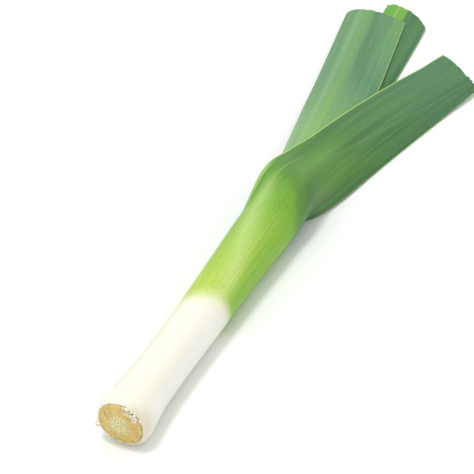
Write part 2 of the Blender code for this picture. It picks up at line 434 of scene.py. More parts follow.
print("blade's lower side at the tip", 1000 * LOWER_SIDE[-1][1], "mm")

# %% Rows of the shank
SHANK_ROWS = 96
OUTER_COLS = 113
BULB_AT = [-0.0014, -0.0009, 0.0004, 0.0022, 0.0055, 0.0100]
BULB_RADIUS = [0.0160, 0.0165, 0.0172, 0.0178, 0.0184, 0.0186]
LIP_AT = np.array([0.0010, 0.0000, -0.0010, -0.0014])
LIP_RADIUS = np.array([0.0142, 0.0146, 0.0150, 0.0155])

outer_t = np.linspace(-1.0, 1.0, OUTER_COLS)
bulb_s = np.interp(np.linspace(0, 5, 21), np.arange(6), BULB_AT)
shank_s = np.concatenate([bulb_s, np.linspace(0.0125, SHANK_LENGTH, SHANK_ROWS)])
radius = shank_radius(shank_s)
radius[:len(bulb_s)] = np.interp(bulb_s, BULB_AT, BULB_RADIUS)
# The waves keep off the root end and the collar, and the bulge fades out over the first 36 mm
swelling = ease((shank_s - 0.004) / 0.03) * (1.0 - ease((shank_s - 0.175) / 0.04))
skin_relief = 0.00016 * slow_waves(shank_s, outer_t, 3) + 0.00004 * pleats(shank_s, outer_t, 4)
bulge = ROOT_BULGE * (1.0 - ease((shank_s - 0.002) / 0.034))[:, None] * lobe(outer_t)[None, :]
radius = radius[:, None] + swelling[:, None] * skin_relief + collar(shank_s, outer_t) + bulge
# The rim at the root end isn't cut straight: it runs in and out by half a millimetre
edge_wave = 0.00045 * slow_waves(np.zeros(1), outer_t, 8) + 0.00030 * pleats(np.zeros(1), outer_t, 9)
tube = tube_rows(shank_s, outer_t, radius, shank_centre(shank_s))
tube[..., 0] = shank_s[:, None] + (1.0 - ease((shank_s[:, None] + 0.0014) / 0.004)) * edge_wave
lip_radius = LIP_RADIUS[:, None] + LIP_BULGE * lobe(outer_t)[None, :]
lip = tube_rows(LIP_AT, outer_t, lip_radius, shank_centre(np.zeros(len(LIP_AT))))
lip[..., 0] += edge_wave * ease((0.0010 - LIP_AT) / 0.0023)[:, None]
print("shank", tube.shape[0], "rows, widest", round(2000.0 * float(radius.max()), 1), "mm")

# %% Rows of the outer leaf
LEAF_ROWS = 176
OFF_TABLE = 0.00002

leaf_s = np.linspace(SHANK_LENGTH, OUTER["tip"], LEAF_ROWS + 1)
opening = ease((leaf_s - SHANK_LENGTH) / 0.05)[:, None]
relief = 0.00009 * slow_waves(leaf_s, outer_t, 5) + 0.00010 * pleats(leaf_s, outer_t, 6)
proud = 0.0005 + collar(leaf_s, outer_t) + opening * (keel_ridge(outer_t) - 0.00015 + relief)
blade, outward = leaf_rows(OUTER, leaf_s, outer_t, proud[..., None])
# Each row comes down to the table, is stretched, and is then held off the table again where that lowers it
lowest = np.minimum(blade[..., 2].min(1), (blade - outward * WALL)[..., 2].min(1))
blade[..., 2] -= lowest[:, None] - OFF_TABLE
even_blade = leaf_rows(OUTER, leaf_s, outer_t, 0.0)[0]
blade = stretch_sides(blade, even_blade, leaf_s, outer_t)
blade[..., 2] = np.maximum(blade[..., 2], OFF_TABLE + 1.1 * WALL * ease(outward[..., 2] / 0.4))
blade = cut_off(blade, leaf_s, outer_t, 11, 0.0016, 0.0030)
print("tube and leaf meet within", round(1000 * float(np.abs(tube[-1] - blade[0]).max()), 3), "mm")

# %% Lay the sheet on them
points = np.concatenate([lip, tube[:-1], blade])
points[..., 0] -= ORIGIN_AT
along = np.concatenate([np.zeros(len(LIP_AT)), shank_s[:-1], leaf_s])
closed_rows = len(LIP_AT) + len(shank_s)
all_outward = np.concatenate([np.repeat(outward[:1], closed_rows - 1, 0), outward])

outer_leaf = add_grid("shank_and_outer_leaf", len(points), OUTER_COLS)
row, col = lay_grid(outer_leaf, points, along, (outer_t + 1.0) / 2.0)
open_share = ease((along - SHANK_LENGTH) / 0.02)[:, None]
wall = mix(1.0, margin_share(points, outer_t), open_share)
share_wall(outer_leaf, wall[row, col])
face_outwards(outer_leaf, row, col, all_outward)
merge_closed_margins(outer_leaf, row, closed_rows)
give_wall(outer_leaf)
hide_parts("shank", "leaf_outer")
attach(outer_leaf, "root")
print(outer_leaf.name, len(outer_leaf.data.polygons), "faces")

# %% [markdown]
# ## The two younger leaves
# They come out of the same tube one inside the other, so they are made by the same steps with their own
# numbers. Both start hidden inside the outer sheath. The waves are left out there and grow with the opening.

# %% Middle and inner leaf
YOUNG_ROWS = 180
YOUNG_COLS = 97


def make_leaf(name, leaf, node, seed, tear):
    t = np.linspace(-1.0, 1.0, YOUNG_COLS)
    s = np.linspace(SHANK_LENGTH + 0.0005, leaf["tip"], YOUNG_ROWS)
    opening = ease((s - leaf["start"]) / 0.08)[:, None]
    relief = 0.00008 * slow_waves(s, t, seed) + 0.00012 * pleats(s, t, seed + 1)
    proud = 0.00045 + keel_ridge(t) + opening * (relief - 0.00015)
    points, outward = leaf_rows(leaf, s, t, proud[..., None])
    points = cut_off(points, s, t, seed + 2, tear, 0.0)
    points[..., 0] -= ORIGIN_AT
    piece = add_grid(name, YOUNG_ROWS, YOUNG_COLS)
    row, col = lay_grid(piece, points, s, (t + 1.0) / 2.0)
    share_wall(piece, margin_share(points, t)[row, col])
    face_outwards(piece, row, col, outward)
    give_wall(piece)
    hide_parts(node)
    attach(piece, "root")
    print(piece.name, len(piece.data.polygons), "faces")
    return piece


middle_leaf = make_leaf("middle_leaf", MIDDLE, "leaf_middle", 21, 0.0022)
inner_leaf = make_leaf("inner_leaf", INNER, "leaf_inner", 31, 0.0018)

# %% [markdown]
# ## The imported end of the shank
# Where the younger leaves come out, the shank is a tight roll of sheaths. A low dome with ring grooves
# closes the tube a little way down, so that no one who looks between the leaves sees into an empty pipe. It
# is a disc whose face is inset again and again: a broad ring that rises, then a narrow one that sinks.

# %% Roll end inside the tube
ROLL_DEPTH = 0.004
RING = dict(thickness=0.0022, depth=0.0006)
GROOVE = dict(thickness=0.0003, depth=-0.0004)

deselect_all()
bpy.ops.mesh.primitive_circle_add(vertices=64, radius=0.0186, fill_type="NGON", location=(0, 0, 0))
roll_end = bpy.context.object
roll_end.name = "roll_end"
enter_edit(roll_end)
bpy.ops.mesh.select_all(action="SELECT")
for step in (RING, GROOVE) * 4:
    bpy.ops.mesh.inset(**step)
bpy.ops.mesh.select_all(action="SELECT")
leave_edit()
roll_place = Matrix.Translation((SHANK_LENGTH - ROLL_DEPTH - ORIGIN_AT, 0, TOP_RADIUS))
roll_end.data.transform(roll_place @ Matrix.Rotation(math.radians(90), 4, "Y"))
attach(roll_end, "root")
print(roll_end.name, len(roll_end.data.polygons), "faces")

# %% [markdown]
# ## Root plate
# At the root end the sheaths grow from a short round plate, and the roots have been cut off close to it.
# What is left is a straw-coloured cushion, rough all over with cut root ends. A squashed sphere gives the
# cushion. Fine noise makes it grainy, and the root ends are modelled once and copied, each copy with its own
# size, lean and turn.

# %% Shape of the cushion
PLATE_RADIUS = 0.0150
PLATE_FACE = -0.0003 - ORIGIN_AT
PLATE_Z = float(shank_centre(0.0))
PLATE_WIDTH = 0.985
LOBE_SHARE = 0.125
GRAIN_DEPTH = 0.00020


def sheet_t(angle):
    """The leaf's own number for an angle round the shank, which is 0 at the top."""
    return ((angle - RIGHT) / math.pi + 1.0) % 2.0 - 1.0


def lobe_share(angle):
    """How much wider the plate is at this angle, as a share of its radius."""
    return LOBE_SHARE * float(lobe(sheet_t(angle)))


def cushion_height(d):
    """How far the cushion stands out at distance d from its middle: a low dome with a rounded rim."""
    share = min(1.0, d / PLATE_RADIUS)
    return 0.0017 * (1.0 - share ** 2) + 0.0012 * (1.0 - share ** 14) ** 0.5 + 0.0008


print("cushion stands out", round(1000 * cushion_height(0.0), 1), "mm")

# %% Cushion of the root plate
deselect_all()
bpy.ops.mesh.primitive_uv_sphere_add(segments=112, ring_count=64, radius=1.0, location=(0, 0, 0))
plate = bpy.context.object
plate.name = "root_plate_dressed"
plate.data.transform(Matrix.Rotation(math.radians(-90), 4, "Y"))
for vertex in plate.data.vertices:
    spot = vertex.co.copy()
    share = min(1.0, math.hypot(spot.y, spot.z))
    grain = noise.noise(Vector((spot.y, spot.z, 0.3)) * 19.0)
    grain += 0.6 * noise.noise(Vector((spot.y, spot.z, 5.1)) * 43.0)
    rim = 1.0 + 0.025 * noise.noise(Vector((spot.y, spot.z, 9.0)) * 3.0)
    rim += lobe_share(math.atan2(spot.y, spot.z))
    front = cushion_height(share * PLATE_RADIUS)
    rise = front + GRAIN_DEPTH * grain * (1.0 - share ** 16) if spot.x < 0 else 0.0
    vertex.co.x = PLATE_FACE - rise
    vertex.co.y = spot.y * PLATE_RADIUS * PLATE_WIDTH * rim
    vertex.co.z = PLATE_Z + spot.z * PLATE_RADIUS * PLATE_WIDTH * rim
plate.data.update()
enter_edit(plate)
bpy.ops.mesh.select_all(action="SELECT")
bpy.ops.mesh.normals_make_consistent(inside=False)
leave_edit()
smooth(plate, 60)
print(plate.name, len(plate.data.polygons), "faces")

# %% One cut root end
deselect_all()
bpy.ops.mesh.primitive_cone_add(vertices=8, radius1=1.0, radius2=0.86, depth=2.0, location=(0, 0, 0))
stub = bpy.context.object
stub.name = "root_end"
enter_edit(stub)
bpy.ops.mesh.select_mode(type="FACE")
bpy.ops.mesh.select_all(action="DESELECT")
leave_edit()
for face in stub.data.polygons:
    face.select = face.normal.z > 0.9
enter_edit(stub)
bpy.ops.mesh.inset(thickness=0.22, depth=0.22)
bpy.ops.mesh.inset(thickness=0.26, depth=0.06)
bpy.ops.mesh.inset(thickness=0.08, depth=-0.12)
leave_edit()
for vertex in stub.data.vertices:
    if vertex.co.z > 0.5:
        vertex.co.z += 0.22 * vertex.co.x
print(stub.name, len(stub.data.polygons), "faces")


# %% Copies over the plate
STUB_COUNT = 330
STUB_SUNK = 0.0006
GOLDEN_ANGLE = math.pi * (3.0 - math.sqrt(5.0))


def join_pieces(pieces, name, angle):
    deselect_all()
    for piece in pieces:
        piece.select_set(True)
    joined = pieces[0]
    bpy.context.view_layer.objects.active = joined
    bpy.ops.object.join()
    joined.name = name
    smooth(joined, angle)
    return joined


chance = random.Random(7)
copies = []
for k in range(STUB_COUNT):
    share = math.sqrt((k + 0.5) / STUB_COUNT)
    d = PLATE_RADIUS * 0.955 * share + chance.uniform(-0.0003, 0.0003)
    angle = k * GOLDEN_ANGLE + chance.uniform(-0.08, 0.08)
    radial = Vector((0.0, math.sin(angle), math.cos(angle)))
    reach = chance.uniform(0.00005, 0.00085)
    width = chance.uniform(0.00042, 0.00088)
    lean = 0.45 * share ** 2
    wander = Vector((0.0, chance.uniform(-0.45, 0.45), chance.uniform(-0.45, 0.45)))
    direction = (Vector((-1.0, 0.0, 0.0)) + radial * lean + wander).normalized()
    foot = Vector((PLATE_FACE - cushion_height(d) + STUB_SUNK, 0.0, PLATE_Z))
    foot += radial * d * (1.0 + lobe_share(angle))
    half = (reach + STUB_SUNK) / 2.0
    turn = direction.to_track_quat("Z", "Y").to_matrix().to_4x4()
    turn = turn @ Matrix.Rotation(chance.uniform(0.0, 6.0), 4, "Z")
    size = Matrix.Diagonal((width, width * chance.uniform(0.65, 1.0), half, 1.0))
    copy = stub.copy()
    copy.data = stub.data.copy()
    copy.data.transform(Matrix.Translation(foot + direction * half) @ turn @ size)
    bpy.context.scene.collection.objects.link(copy)
    copies.append(copy)
bpy.data.objects.remove(stub, do_unlink=True)
root_ends = join_pieces(copies, "cut_root_ends", 40)
root_ends.data.name = "cut_root_ends"
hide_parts("root_plate")
for piece in (plate, root_ends):
    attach(piece, "root")
print(root_ends.name, len(root_ends.data.polygons), "faces")

# %% [markdown]
# ## Torn sheath and a root left on
# The oldest sheath dies back at the root end. Where it was pulled off, a few white crumbs of it are left on
# the rim, and one thin root escaped the knife and curled up as it dried. The crumbs are small spheres pulled
# out of shape by noise, and the root is a curve with a round bevel that thins to its tip.

# %% Crumbs on the rim
CRUMB_COUNT = 42
CRUMB_FACE = PLATE_FACE - 0.0021
RIM_STARTS = 0.0158

chance = random.Random(19)
crumbs = []
for k in range(CRUMB_COUNT):
    angle = math.radians(mix(12.0, 66.0, (k + chance.uniform(0.0, 1.0)) / CRUMB_COUNT))
    d = chance.uniform(0.0114, 0.0168)
    size = chance.uniform(0.00045, 0.00125)
    deselect_all()
    bpy.ops.mesh.primitive_ico_sphere_add(subdivisions=3, radius=1.0, location=(0, 0, 0))
    crumb = bpy.context.object
    stretch = Vector((0.75, chance.uniform(0.6, 1.2), chance.uniform(0.6, 1.2)))
    middle = Vector((CRUMB_FACE - 0.35 * size, -d * math.sin(angle), PLATE_Z + d * math.cos(angle)))
    middle.x += max(0.0, d - RIM_STARTS) * 1.3
    for vertex in crumb.data.vertices:
        lumps = 1.0 + 0.55 * noise.noise(vertex.co * 1.7 + Vector((0.0, 0.0, 7.0 * k)))
        lumps += 0.25 * noise.noise(vertex.co * 4.0)
        vertex.co = middle + vertex.co * stretch * size * lumps
    crumbs.append(crumb)
torn_sheath = join_pieces(crumbs, "torn_sheath_crumbs", 60)

# %% The curled root
ROOT_RADIUS = 0.00042
ROOT_BENDS = [
    (0.0010, 0.0146, -0.0086, 1.2),
    (-0.0012, 0.0158, -0.0078, 1.2),
    (-0.0018, 0.0171, -0.0064, 1.0),
    (-0.0012, 0.0163, -0.0048, 0.9),
    (-0.0006, 0.0170, -0.0036, 0.6),
]

deselect_all()
bpy.ops.curve.primitive_bezier_curve_add(location=(0, 0, 0))
curled_root = bpy.context.object
curled_root.name = "curled_root"
curve = curled_root.data
curve.bevel_depth = ROOT_RADIUS
curve.bevel_resolution = 3
curve.resolution_u = 10
curve.use_fill_caps = True
spline = curve.splines[0]
spline.bezier_points.add(len(ROOT_BENDS) - len(spline.bezier_points))
for point, (x, y, z, thick) in zip(spline.bezier_points, ROOT_BENDS):
    point.co = (PLATE_FACE + x, y, PLATE_Z + z)
    point.radius = thick
    point.handle_left_type = "AUTO"
    point.handle_right_type = "AUTO"
make_active(curled_root)
bpy.ops.object.convert(target="MESH")
curled_root = bpy.context.object
smooth(curled_root, 60)
for piece in (torn_sheath, curled_root):
    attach(piece, "root")
    print(piece.name, len(piece.data.polygons), "faces")

# %% [markdown]
# ## Colours and nodes
# Colours are written as the hex values one reads off a screen, and one function turns them into the linear
# values that the renderer works in. One more function adds any node with its settings and links. The kinds
# of node and the settings that come up often have short names, so that a line shows what it works out.

# %% Names of nodes and their settings
MATH = "ShaderNodeMath"
VECTOR_MATH = "ShaderNodeVectorMath"
MAP_RANGE = "ShaderNodeMapRange"
NOISE = "ShaderNodeTexNoise"
RAMP = "ShaderNodeValToRGB"
MIX = "ShaderNodeMix"
SEPARATE = "ShaderNodeSeparateXYZ"
PLACE = "ShaderNodeTexCoord"
BUMP = "ShaderNodeBump"
MULTIPLY = {"operation": "MULTIPLY"}
MULTIPLY_ADD = {"operation": "MULTIPLY_ADD"}
SUBTRACT = {"operation": "SUBTRACT"}
DIVIDE = {"operation": "DIVIDE"}
SINE = {"operation": "SINE"}
COSINE = {"operation": "COSINE"}
ABSOLUTE = {"operation": "ABSOLUTE"}
SMOOTH = {"interpolation_type": "SMOOTHSTEP"}
COLOURS = {"data_type": "RGBA"}
TINT = {"data_type": "RGBA", "blend_type": "MULTIPLY"}


# %% Helpers for materials
def linear(code):
    """Hex colour as seen on a screen, as linear red, green, blue and alpha."""
    values = [int(code[k:k + 2], 16) / 255.0 for k in (1, 3, 5)]
    return [v / 12.92 if v <= 0.04045 else ((v + 0.055) / 1.055) ** 2.4 for v in values] + [1.0]


def add_node(tree, kind, settings, inputs):
    """Add a node, set its properties (stops for a ramp), and give each input a value or a link."""
    node = tree.nodes.new(kind)
    for name, value in settings.items():
        if name == "stops":
            ramp = node.color_ramp.elements
            while len(ramp) < len(value):
                ramp.new(0.5)
            for element, (position, colour) in zip(ramp, value):
                element.position = position
                element.color = linear(colour) if isinstance(colour, str) else (colour, colour, colour, 1.0)
        else:
            setattr(node, name, value)
    for key, value in inputs.items():
        if isinstance(value, bpy.types.NodeSocket):
            tree.links.new(value, node.inputs[key])
        elif isinstance(value, bpy.types.Node):
            tree.links.new(value.outputs[0], node.inputs[key])
        else:
            node.inputs[key].default_value = value
    return node


def new_material(name, plain):
    """A material with its surface shader, and the colour that a plain view shows."""
    material = bpy.data.materials.new(name)
    material.use_nodes = True
    material.diffuse_color = linear(plain)
    return material, material.node_tree, material.node_tree.nodes["Principled BSDF"]


def set_surface(tree, surface, colour, relief, values):
    """Link the colour and the relief, and set the values that are the same all over."""
    tree.links.new(colour, surface.inputs["Base Color"])
    if relief:
        tree.links.new(relief.outputs[0], surface.inputs["Normal"])
    for name, value in values.items():
        surface.inputs[name].default_value = value


def cover(piece, material):
    piece.data.materials.clear()
    piece.data.materials.append(material)


print("cream", [round(v, 3) for v in linear("#F6F4E4")])

# %% [markdown]
# ## Leaf skin
# Leek leaf is living tissue under a thin coat of wax. Nothing on it is one flat colour: the sheath is white
# where it grew in the dark, turns yellow-green within a few millimetres where light reached it, and
# blue-green in the blade. Parallel veins run all the way. Because the UV map holds the leaf's own
# directions, a ramp along it gives the zones, and noise that is long along the leaf and narrow across it
# gives the grain. It comes in three sizes: bands some 200 mm long and 8 to 13 mm wide, streaks of 70 by 1 to
# 2 mm, and flecks of 3 by 1 mm.


# %% The leaf's directions and its grain
def leaf_directions(tree):
    """The UV map, how far along the leaf in metres, and how far across from 0 to 1."""
    uv = add_node(tree, "ShaderNodeUVMap", {"uv_map": "leaf"}, {})
    split = add_node(tree, SEPARATE, {}, {0: uv})
    return uv, split.outputs[0], split.outputs[1]


def leaf_grain(tree, uv, per_metre, per_width, start, detail=2.0, roughness=0.5):
    """Noise pulled out along the leaf, by how many patches there are per metre and over the whole width."""
    at = add_node(tree, VECTOR_MATH, MULTIPLY_ADD, {0: uv, 1: (per_metre, per_width, 0.0), 2: start})
    return add_node(tree, NOISE, {}, {"Vector": at, "Scale": 1.0, "Detail": detail, "Roughness": roughness})


# %% [markdown]
# ## Zones
# One long ramp holds the sheath's colours from the root end on, and a second one, read by the broad bands,
# the blade's. Where one turns into the other differs from leaf to leaf. The border of the white part runs
# slanting round the shank and is frayed by the streaks, as the real border is. Streaks and flecks then
# darken the colour a little, hardly at all on the white part.

# %% Zones of the sheath and the blade
ZONE_LENGTH = 0.6
GREEN_STARTS = (0.122, 0.136)


def zone_colour(tree, look, leaf):
    """The skin's colour without veins and stripes, where it is green, and the darkest streak's tone."""
    around = add_node(tree, MATH, MULTIPLY, {0: leaf["across"], 1: math.pi})
    wave = add_node(tree, MATH, COSINE, {0: around})
    leant = add_node(tree, MATH, MULTIPLY_ADD, {0: wave, 1: -look["lean"], 2: leaf["along"]})
    frayed = add_node(tree, MATH, MULTIPLY_ADD, {0: leaf["streaks"], 1: look["fray"], 2: leant})
    place = add_node(tree, MATH, DIVIDE, {0: frayed, 1: ZONE_LENGTH})
    sheath = add_node(tree, RAMP, {"stops": look["sheath"]}, {"Fac": place})
    blade = add_node(tree, RAMP, {"stops": look["blade"]}, {"Fac": leaf["bands"]})
    turn_at = add_node(tree, MATH, MULTIPLY_ADD, {0: leaf["across"], 1: -look["tilt"], 2: leaf["along"]})
    turn_frayed = add_node(tree, MATH, MULTIPLY_ADD, {0: leaf["bands"], 1: 0.05, 2: turn_at})
    turning = add_node(tree, MAP_RANGE, SMOOTH,
                       {"Value": turn_frayed, "From Min": look["turns"][0], "From Max": look["turns"][1]})
    zones = add_node(tree, MIX, COLOURS, {0: turning, 6: sheath, 7: blade})
    green = add_node(tree, MAP_RANGE, SMOOTH,
                     {"Value": frayed, "From Min": GREEN_STARTS[0], "From Max": GREEN_STARTS[1]})
    least = add_node(tree, MAP_RANGE, {}, {"Value": green, "To Min": 0.975, "To Max": look["depth"]})
    shade = add_node(tree, MAP_RANGE, SMOOTH,
                     {"Value": leaf["streaks"], "From Min": 0.32, "From Max": 0.68, "To Min": least})
    fleck_least = add_node(tree, MAP_RANGE, {}, {"Value": green, "To Min": 0.99, "To Max": 0.86})
    fleck = add_node(tree, MAP_RANGE, {},
                     {"Value": leaf["flecks"], "From Min": 0.35, "From Max": 0.65, "To Min": fleck_least})
    tone = add_node(tree, MATH, MULTIPLY, {0: shade, 1: fleck})
    colour = add_node(tree, MIX, TINT, {0: 1.0, 6: zones.outputs[2], 7: tone})
    return colour, green, least


# %% [markdown]
# ## Stripes
# Some marks run along one place across the leaf: the keel, a fold, the pale ridge of the collar, a lighter
# or darker side. Several are painted light and shade: the highlights on the collar's ridge, across the
# sheath and on the middle leaf's keel, the shade in the fold and along the collar's margin, light past the
# fold, and the lighter and darker sides of the white shank. Each is a stripe with a middle, a half width, a
# strength and a colour. It fades in over one stretch of the leaf and out over another, and a slope lets its
# middle wander from one margin to the other.

# %% Stripes along the leaf
BEYOND = (1.0, 1.1)


def stripe(at, width, share, colour, begins, ends=BEYOND, slope=0.0, soft=1.2):
    """Middle and half width across the leaf, from -1 to 1, and where it fades in and out, in metres."""
    return dict(at=at, width=width, share=share, colour=colour, begins=begins, ends=ends,
                slope=slope, soft=soft)


def add_stripes(tree, look, leaf, colour):
    for line in look["stripes"]:
        width = line["width"]
        full = width * (1.25 - line["soft"])
        begins, begun = line["begins"]
        ends, ended = line["ends"]
        middle = add_node(tree, MATH, MULTIPLY_ADD, {0: leaf["along"], 1: -line["slope"], 2: line["at"]})
        off = add_node(tree, MATH, SUBTRACT, {0: leaf["across"], 1: middle})
        far = add_node(tree, MATH, ABSOLUTE, {0: off})
        uneven = add_node(tree, MATH, MULTIPLY_ADD, {0: leaf["bands"], 1: width * 0.5, 2: far})
        near = add_node(tree, MAP_RANGE, SMOOTH,
                        {"Value": uneven, "From Min": width * 1.25, "From Max": full})
        fade_in = add_node(tree, MAP_RANGE, SMOOTH,
                           {"Value": leaf["along"], "From Min": begins, "From Max": begun,
                            "To Max": line["share"]})
        fade_out = add_node(tree, MAP_RANGE, SMOOTH,
                            {"Value": leaf["along"], "From Min": ends, "From Max": ended,
                             "To Min": 1.0, "To Max": 0.0})
        there = add_node(tree, MATH, MULTIPLY, {0: fade_in, 1: fade_out})
        strength = add_node(tree, MATH, MULTIPLY, {0: near, 1: there})
        colour = add_node(tree, MIX, COLOURS, {0: strength, 6: colour.outputs[2], 7: linear(line["colour"])})
    return colour


# %% [markdown]
# ## Veins and margins
# The veins are a sine across the leaf, 94 of them round the shank, so about 1.3 mm apart, as on a real one.
# They are pale, stronger on some streaks than on others, and weaker on the blade. At the margins the leaf is
# so thin that the pale flesh shows through, and here and there it has dried to a brown mark.

# %% Veins and margins
VEINS_FADE = (0.200, 0.240)
TUBE_OPENS = (0.222, 0.240)


def add_veins(tree, look, leaf, green, colour):
    """The colour with its veins, and the veins alone, which also stand out as fine relief."""
    turn = add_node(tree, MATH, MULTIPLY_ADD,
                    {0: leaf["across"], 1: math.pi * look["veins"], 2: leaf["bands"]})
    wave = add_node(tree, MATH, SINE, {0: turn})
    vein = add_node(tree, MAP_RANGE, SMOOTH, {"Value": wave, "From Min": -0.3, "From Max": 1.0})
    seen = add_node(tree, MATH, MULTIPLY, {0: vein, 1: green})
    clear = add_node(tree, MAP_RANGE, SMOOTH,
                     {"Value": leaf["along"], "From Min": VEINS_FADE[0], "From Max": VEINS_FADE[1],
                      "To Min": 1.0, "To Max": look["faint"]})
    some = add_node(tree, MAP_RANGE, {},
                    {"Value": leaf["streaks"], "From Min": 0.20, "From Max": 0.75,
                     "To Max": look["vein_share"]})
    there = add_node(tree, MATH, MULTIPLY, {0: seen, 1: some})
    strength = add_node(tree, MATH, MULTIPLY, {0: there, 1: clear})
    colour = add_node(tree, MIX, COLOURS, {0: strength, 6: colour.outputs[2], 7: linear(look["vein"])})
    return colour, seen


def add_margins(tree, look, leaf, colour):
    """Pale margins, weaker at the lower one where the look says so, and a few dry marks on them."""
    from_keel = add_node(tree, MATH, ABSOLUTE, {0: leaf["across"]})
    share = add_node(tree, MAP_RANGE, {},
                     {"Value": leaf["across"], "From Min": -0.5, "From Max": 0.5,
                      "To Min": look["low_margin"]})
    near = add_node(tree, MAP_RANGE, SMOOTH,
                    {"Value": from_keel, "From Min": 1.0 - look["margin_width"], "From Max": 0.995,
                     "To Max": share})
    opened = add_node(tree, MAP_RANGE, SMOOTH,
                      {"Value": leaf["along"], "From Min": TUBE_OPENS[0], "From Max": TUBE_OPENS[1]})
    strength = add_node(tree, MATH, MULTIPLY, {0: near, 1: opened})
    edged = add_node(tree, MIX, COLOURS, {0: strength, 6: colour.outputs[2], 7: linear(look["margin"])})
    dry_here = add_node(tree, MATH, MULTIPLY, {0: leaf["dry"], 1: from_keel})
    dry_share = add_node(tree, MAP_RANGE, SMOOTH,
                         {"Value": dry_here, "From Min": look["dry"], "From Max": look["dry"] + 0.05,
                          "To Max": 0.6})
    dry_opened = add_node(tree, MATH, MULTIPLY, {0: dry_share, 1: opened})
    return add_node(tree, MIX, COLOURS, {0: dry_opened, 6: edged.outputs[2], 7: linear("#93803F")})


# %% [markdown]
# ## Wax
# The wax makes the leaf half matt, a little uneven along the streaks. The veins stand out by less than a
# tenth of a millimetre, which only shows as a shimmer, so a bump is enough for them. Light goes a few
# millimetres into the tissue and gives it its soft glow.

# %% Waxy leaf skin
ROUGH = 0.42
VEIN_RELIEF = 0.16
RELIEF_HEIGHT = 0.0002
FLESH_IOR = 1.42


def leaf_skin(name, plain, look):
    material, tree, surface = new_material(name, plain)
    seed = look["seed"]
    uv, along, share_across = leaf_directions(tree)
    leaf = dict(
        along=along,
        across=add_node(tree, MATH, MULTIPLY_ADD, {0: share_across, 1: 2.0, 2: -1.0}),
        streaks=leaf_grain(tree, uv, 14.0, look["streaks"], (0.0, 0.0, seed), roughness=0.6),
        bands=leaf_grain(tree, uv, 5.0, look["bands"], (3.0, 1.0, seed)),
        flecks=leaf_grain(tree, uv, 380.0, 75.0, (0.0, 0.0, seed + 5.0)),
        dry=leaf_grain(tree, uv, 55.0, 30.0, (0.0, 0.0, seed + 2.0)),
    )
    colour, green, least = zone_colour(tree, look, leaf)
    colour = add_stripes(tree, look, leaf, colour)
    colour, veins = add_veins(tree, look, leaf, green, colour)
    colour = add_margins(tree, look, leaf, colour)
    gloss = add_node(tree, MAP_RANGE, {},
                     {"Value": leaf["streaks"], "From Min": 0.3, "From Max": 0.7,
                      "To Min": ROUGH - 0.05, "To Max": ROUGH + 0.07})
    tree.links.new(gloss.outputs[0], surface.inputs["Roughness"])
    ridge = add_node(tree, MATH, MULTIPLY, {0: leaf["streaks"], 1: least})
    relief = add_node(tree, MATH, MULTIPLY_ADD, {0: veins, 1: 0.35, 2: ridge})
    bump = add_node(tree, BUMP, {}, {"Height": relief, "Strength": VEIN_RELIEF, "Distance": RELIEF_HEIGHT})
    set_surface(tree, surface, colour.outputs[2], bump, {
        "IOR": FLESH_IOR, "Specular IOR Level": 0.30, "Subsurface Weight": look["glow"],
        "Subsurface Radius": (1.0, 0.8, 0.35), "Subsurface Scale": 0.003,
        "Sheen Weight": look["bloom"], "Sheen Roughness": 0.5,
    })
    print(material.name, len(tree.nodes), "nodes")
    return material


# %% The outer leaf's skin, from the root end to the tip
outer_skin = leaf_skin("waxy_sheath_and_outer_leaf", "#6F9E55", dict(
    seed=1.0, streaks=70.0, bands=9.0, lean=0.009, fray=0.010, tilt=0.030, turns=(0.250, 0.292), depth=0.90,
    sheath=[
        (0.000, "#F0E9D0"), (0.005, "#F6F2E0"), (0.014, "#F8F5E4"), (0.190, "#F8F6E6"), (0.204, "#F1F3D2"),
        (0.216, "#D6E790"), (0.230, "#BBDA50"), (0.280, "#A8CE46"), (0.340, "#92C43C"), (0.400, "#7AB438"),
        (0.520, "#629C3A"),
    ],
    blade=[(0.30, "#3C6E37"), (0.42, "#437A3E"), (0.52, "#4A823F"), (0.62, "#548C3E")],
    stripes=[
        # Painted shade: a greyer, creamier band on the left side of the white part, on both sides of the
        # closed margins
        stripe(0.86, 0.30, 0.60, "#D3D3AA", (0.0, 0.02), (0.105, 0.135)),
        stripe(-1.14, 0.30, 0.60, "#D3D3AA", (0.0, 0.02), (0.105, 0.135)),
        # Painted light: a whiter band on the right side of the white part, which lifts its shading
        stripe(0.07, 0.20, 0.90, "#FFFFF6", (0.004, 0.020), (0.105, 0.125), soft=1.0),
        # Strong green on the right side of the sheath, and a painted highlight: a pale streak that crosses
        # it
        stripe(-0.10, 0.42, 0.88, "#78B610", (0.122, 0.138), (0.218, 0.245), soft=0.55),
        stripe(-0.225, 0.22, 0.45, "#D5EA9C", (0.120, 0.150), (0.235, 0.265), slope=-3.75),
        # Painted shade in the trough along the collar's upper margin, and in the fold where the blade bends
        # away
        stripe(0.90, 0.14, 0.45, "#5C9444", (0.222, 0.245), (0.300, 0.360), soft=0.9),
        stripe(-3.70, 0.27, 0.75, "#588A3C", (0.222, 0.238), (0.262, 0.285), slope=-15.0, soft=0.9),
        # Lighter patches past the fold; the upper one is painted light that lifts the shade behind the
        # collar's swelling
        stripe(0.44, 0.42, 0.80, "#6DA34E", (0.258, 0.280), (0.310, 0.365)),
        stripe(-0.12, 0.44, 0.45, "#74A643", (0.262, 0.290), (0.310, 0.390)),
        # The bloom over the whole far blade, and a lighter streak through it
        stripe(0.0, 3.0, 0.60, "#507E62", (0.30, 0.48), soft=0.2),
        stripe(1.47, 0.07, 0.25, "#76A64C", (0.31, 0.36), (0.47, 0.52), slope=3.6),
        # Painted highlight on the ridge beside the collar's margin, and the bright margin itself
        stripe(0.70, 0.024, 0.34, "#B5D68A", (0.226, 0.245), (0.275, 0.325), soft=1.1),
        stripe(0.94, 0.05, 0.60, "#BEDE86", (0.226, 0.240), (0.262, 0.276), soft=0.9),
    ],
    veins=94, vein="#E6F2A8", vein_share=0.50, faint=0.26,
    margin_width=0.040, margin="#B0D676", low_margin=0.30, dry=0.70, glow=0.10, bloom=0.0,
))

